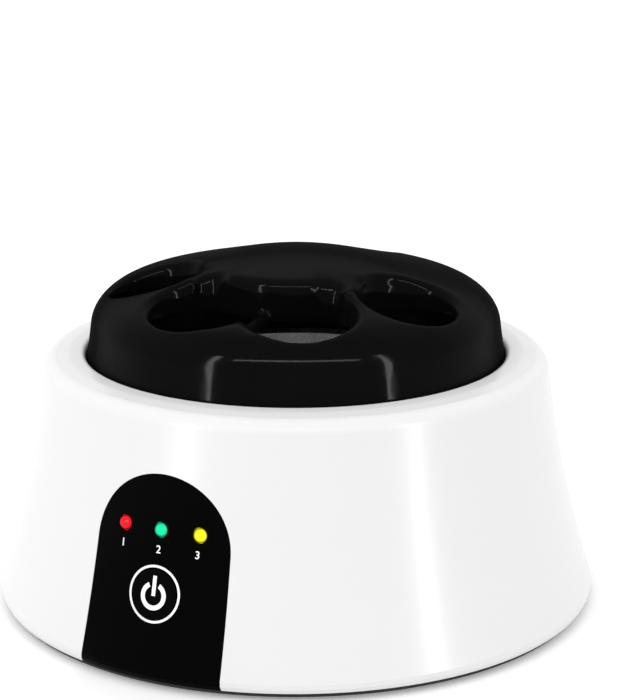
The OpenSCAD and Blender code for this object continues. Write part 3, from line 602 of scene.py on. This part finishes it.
def printed(name, points, faces, node, body, height):
    """Points are (across, up) in mm from the panel's centre line at a height. They land on the node."""
    below = surface_of(node)
    spots = []
    for across, up in points:
        start_at = Vector((across * mm, IN_FRONT, (height + up * UPRIGHT) * mm))
        hit, normal, _, _ = below.ray_cast(start_at, Vector((0, 1, 0)))
        if hit is None:
            raise ValueError(name + " misses " + node)
        outward = normal if normal.y < 0 else -normal
        spots.append(hit + outward * CLEAR_OF_FACE)
    mesh = bpy.data.meshes.new(name)
    mesh.from_pydata([tuple(s) for s in spots], [], faces)
    work = bmesh.new()
    work.from_mesh(mesh)
    bmesh.ops.recalc_face_normals(work, faces=work.faces)
    if sum(f.normal.y * f.calc_area() for f in work.faces) > 0:
        bmesh.ops.reverse_faces(work, faces=work.faces)
    bmesh.ops.solidify(work, geom=work.faces[:], thickness=-INK_THICKNESS)
    bmesh.ops.recalc_face_normals(work, faces=work.faces)
    work.to_mesh(mesh)
    work.free()
    piece = bpy.data.objects.new(name, mesh)
    bpy.context.scene.collection.objects.link(piece)
    mesh.materials.append(ink)
    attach(piece, body)


def ring_drawing(inner, outer, gap=0.0, steps=96):
    """Points and faces of a flat ring. A gap, in degrees to each side of the top, leaves it open there."""
    turn = 360 - 2 * gap
    closed = gap == 0
    count = steps if closed else steps + 1
    points = []
    for i in range(count):
        a = math.radians(90 + gap + turn * i / steps)
        for k in range(3):
            r = inner + (outer - inner) * k / 2
            points.append((r * math.cos(a), r * math.sin(a)))
    faces = []
    for i in range(steps):
        j = (i + 1) % count
        for k in range(2):
            faces.append((3 * i + k, 3 * i + k + 1, 3 * j + k + 1, 3 * j + k))
    return points, faces


print("helpers: surface_of, printed, ring_drawing")

# %% [markdown]
# Screen-print ink is an even, half-matt white, with specks of pigment about a quarter of a millimetre wide.

# %% White ink
ink, tree, shader, place = start("white screen-print ink")
shader.inputs["Roughness"].default_value = 0.38
speck = add(tree, "ShaderNodeTexNoise", {"Vector": place}, Scale=4000.0, Detail=2.0)
tone = add(tree, "ShaderNodeMix", {"Factor": speck.outputs[0]}, data_type="RGBA")
tone.inputs[6].default_value, tone.inputs[7].default_value = hex_colour("#f1f1f0"), hex_colour("#ffffff")
tree.links.new(tone.outputs[2], shader.inputs["Base Color"])
relief = add(tree, "ShaderNodeBump", {"Height": speck.outputs[0]}, Strength=0.3, Distance=0.004 * mm)
tree.links.new(relief.outputs[0], shader.inputs["Normal"])
print("ink:", ink.name)

# %% [markdown]
# The ring is printed on the panel, round the button. The on-off sign is printed on the button: an open ring,
# and a bar through its gap. It rides on the button's body and goes in with it. All sizes are in millimetres,
# and the gap is in degrees to each side of the top.

# %% Ring and on-off sign
low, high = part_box("power_button")
print("button's width, mm:", round((high.x - low.x) / mm, 2))
BUTTON_HEIGHT = 24.5
RING = (6.95, 7.6)
SIGN_RING = (2.5, 3.75)
SIGN_GAP = 27
SIGN_DROP = 0.4  # the sign's ring stands this much lower than the button's centre
BAR_HEIGHTS = (0.0, 1.4, 2.8, 4.2, 5.3)
HALF_BAR = 0.55
points, faces = ring_drawing(*RING)
printed("print_ring", points, faces, "control_panel", "body", BUTTON_HEIGHT)
points, faces = ring_drawing(*SIGN_RING, gap=SIGN_GAP)
first = len(points)
points += [(x, y) for y in BAR_HEIGHTS for x in (-HALF_BAR, HALF_BAR)]
points = [(x, y - SIGN_DROP) for x, y in points]
corners = range(first, first + 2 * len(BAR_HEIGHTS) - 2, 2)
faces += [(i, i + 1, i + 3, i + 2) for i in corners]
printed("print_on_off", points, faces, "power_button", "button", BUTTON_HEIGHT)

# %% [markdown]
# Plain figures number the lamps. Their outlines come from Blender's own typeface.

# %% Figures under the lamps
def figure_drawing(text, tall):
    """A figure from Blender's own typeface, as points and faces, centred, tall in mm."""
    curve = bpy.data.curves.new("figure", "FONT")
    curve.body = text
    curve.size = 1.0
    curve.offset = 0.012
    curve.resolution_u = 6
    word = bpy.data.objects.new("figure", curve)
    bpy.context.scene.collection.objects.link(word)
    mesh = bpy.data.meshes.new_from_object(word.evaluated_get(bpy.context.evaluated_depsgraph_get()))
    bpy.data.objects.remove(word)
    bpy.data.curves.remove(curve)
    work = bmesh.new()
    work.from_mesh(mesh)
    bmesh.ops.remove_doubles(work, verts=work.verts, dist=1e-5)
    bmesh.ops.triangulate(work, faces=work.faces)
    xs, ys = [v.co.x for v in work.verts], [v.co.y for v in work.verts]
    size = tall / (max(ys) - min(ys))
    cx, cy = (max(xs) + min(xs)) / 2, (max(ys) + min(ys)) / 2
    points = [((v.co.x - cx) * size, (v.co.y - cy) * size) for v in work.verts]
    faces = [tuple(v.index for v in f.verts) for f in work.faces]
    work.free()
    bpy.data.meshes.remove(mesh)
    return points, faces


FIGURE_SIZE = 2.1
FIGURES_UP = 36.0  # the height of their middles above the floor
for text, lamp in (("1", "led_red"), ("2", "led_green"), ("3", "led_yellow")):
    low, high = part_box(lamp)
    across = (low.x + high.x) / 2 / mm
    points, faces = figure_drawing(text, FIGURE_SIZE)
    points = [(x + across, y) for x, y in points]
    printed("print_figure_" + text, points, faces, "control_panel", "body", FIGURES_UP)
    print("figure", text, "at, mm:", round(across, 2))

# %% [markdown]
# ## Feet
#
# Four rubber feet keep the body from sliding. Each is a small disc with raised rings on its underside. They
# repeat, so Geometry Nodes make one foot and put it at four points of a circle: the tree takes the foot's
# width, its height and the circle's radius.

# %% Feet, node tree
FOOT_WIDTH = 14 * mm
GRIP_RELIEF = 0.35 * mm  # how far the rings stand out of the disc's underside
RING_SHARES = (0.35, 0.62, 0.89)  # of the foot's radius
feet_tree = bpy.data.node_groups.new("ring of feet", "GeometryNodeTree")
sockets = {}
for label, value in (("Foot width", FOOT_WIDTH), ("Foot height", 2 * mm), ("Circle radius", 70 * mm)):
    socket = feet_tree.interface.new_socket(label, in_out="INPUT", socket_type="NodeSocketFloat")
    socket.default_value = value
    sockets[label] = socket.identifier
socket = feet_tree.interface.new_socket("Rubber", in_out="INPUT", socket_type="NodeSocketMaterial")
sockets["Rubber"] = socket.identifier
feet_tree.interface.new_socket("Geometry", in_out="OUTPUT", socket_type="NodeSocketGeometry")
given = add(feet_tree, "NodeGroupInput")
radius = add(feet_tree, "ShaderNodeMath", {0: given.outputs["Foot width"]}, operation="MULTIPLY", i1=0.5)
thick = add(feet_tree, "ShaderNodeMath", {0: given.outputs["Foot height"]},
            operation="SUBTRACT", i1=GRIP_RELIEF)
disc = add(feet_tree, "GeometryNodeMeshCylinder", {"Radius": radius.outputs[0], "Depth": thick.outputs[0]},
           Vertices=64, Side_Segments=1, Fill_Segments=1)
half = add(feet_tree, "ShaderNodeMath", {0: thick.outputs[0]},
           operation="MULTIPLY_ADD", i1=0.5, i2=GRIP_RELIEF)
lifted = add(feet_tree, "ShaderNodeCombineXYZ", {"Z": half.outputs[0]})
disc = add(feet_tree, "GeometryNodeTransform",
           {"Geometry": disc.outputs[0], "Translation": lifted.outputs[0]})
shapes = [disc.outputs[0]]
for share in RING_SHARES:
    ring_radius = add(feet_tree, "ShaderNodeMath", {0: radius.outputs[0]}, operation="MULTIPLY", i1=share)
    ring = add(feet_tree, "GeometryNodeCurvePrimitiveCircle", {"Radius": ring_radius.outputs[0]},
               Resolution=64)
    bead = add(feet_tree, "GeometryNodeCurvePrimitiveCircle", Resolution=12, Radius=GRIP_RELIEF)
    grip = add(feet_tree, "GeometryNodeCurveToMesh", {0: ring.outputs[0], 1: bead.outputs[0]})
    low_ring = add(feet_tree, "GeometryNodeTransform", {"Geometry": grip.outputs[0]},
                   Translation=(0, 0, GRIP_RELIEF))
    shapes.append(low_ring.outputs[0])
joined = add(feet_tree, "GeometryNodeJoinGeometry")
for shape in reversed(shapes):
    feet_tree.links.new(shape, joined.inputs[0])
posts = add(feet_tree, "GeometryNodeMeshCircle", {"Radius": given.outputs["Circle radius"]}, Vertices=4)
placed = add(feet_tree, "GeometryNodeInstanceOnPoints",
             {"Points": posts.outputs[0], "Instance": joined.outputs[0]})
real = add(feet_tree, "GeometryNodeRealizeInstances", {0: placed.outputs[0]})
coated = add(feet_tree, "GeometryNodeSetMaterial", {0: real.outputs[0], "Material": given.outputs["Rubber"]})
add(feet_tree, "NodeGroupOutput", {0: coated.outputs[0]})
print("feet tree:", len(feet_tree.nodes), "nodes")

# %% [markdown]
# The circle and the foot's height come from the box of the solid feet. The tree runs once, and its result is
# kept as a plain mesh.

# %% Feet, piece
low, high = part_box("rubber_feet")
feet_holder = bpy.data.objects.new("grip_feet", bpy.data.meshes.new("grip_feet"))
bpy.context.scene.collection.objects.link(feet_holder)
maker = feet_holder.modifiers.new("feet", "NODES")
maker.node_group = feet_tree
maker[sockets["Circle radius"]] = high.x - FOOT_WIDTH / 2
maker[sockets["Foot height"]] = high.z - low.z
maker[sockets["Rubber"]] = foot_rubber
feet_mesh = bpy.data.meshes.new_from_object(feet_holder.evaluated_get(bpy.context.evaluated_depsgraph_get()))
feet_holder.modifiers.clear()
feet_holder.data = feet_mesh
shade_smooth(feet_holder, 35)
print("feet: vertices", len(feet_mesh.vertices),
      "lowest, mm", round(min(v.co.z for v in feet_mesh.vertices) / mm, 3))
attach(feet_holder, "body")
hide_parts("rubber_feet")

# %% View transform
bpy.context.scene.view_settings.view_transform = "Standard"
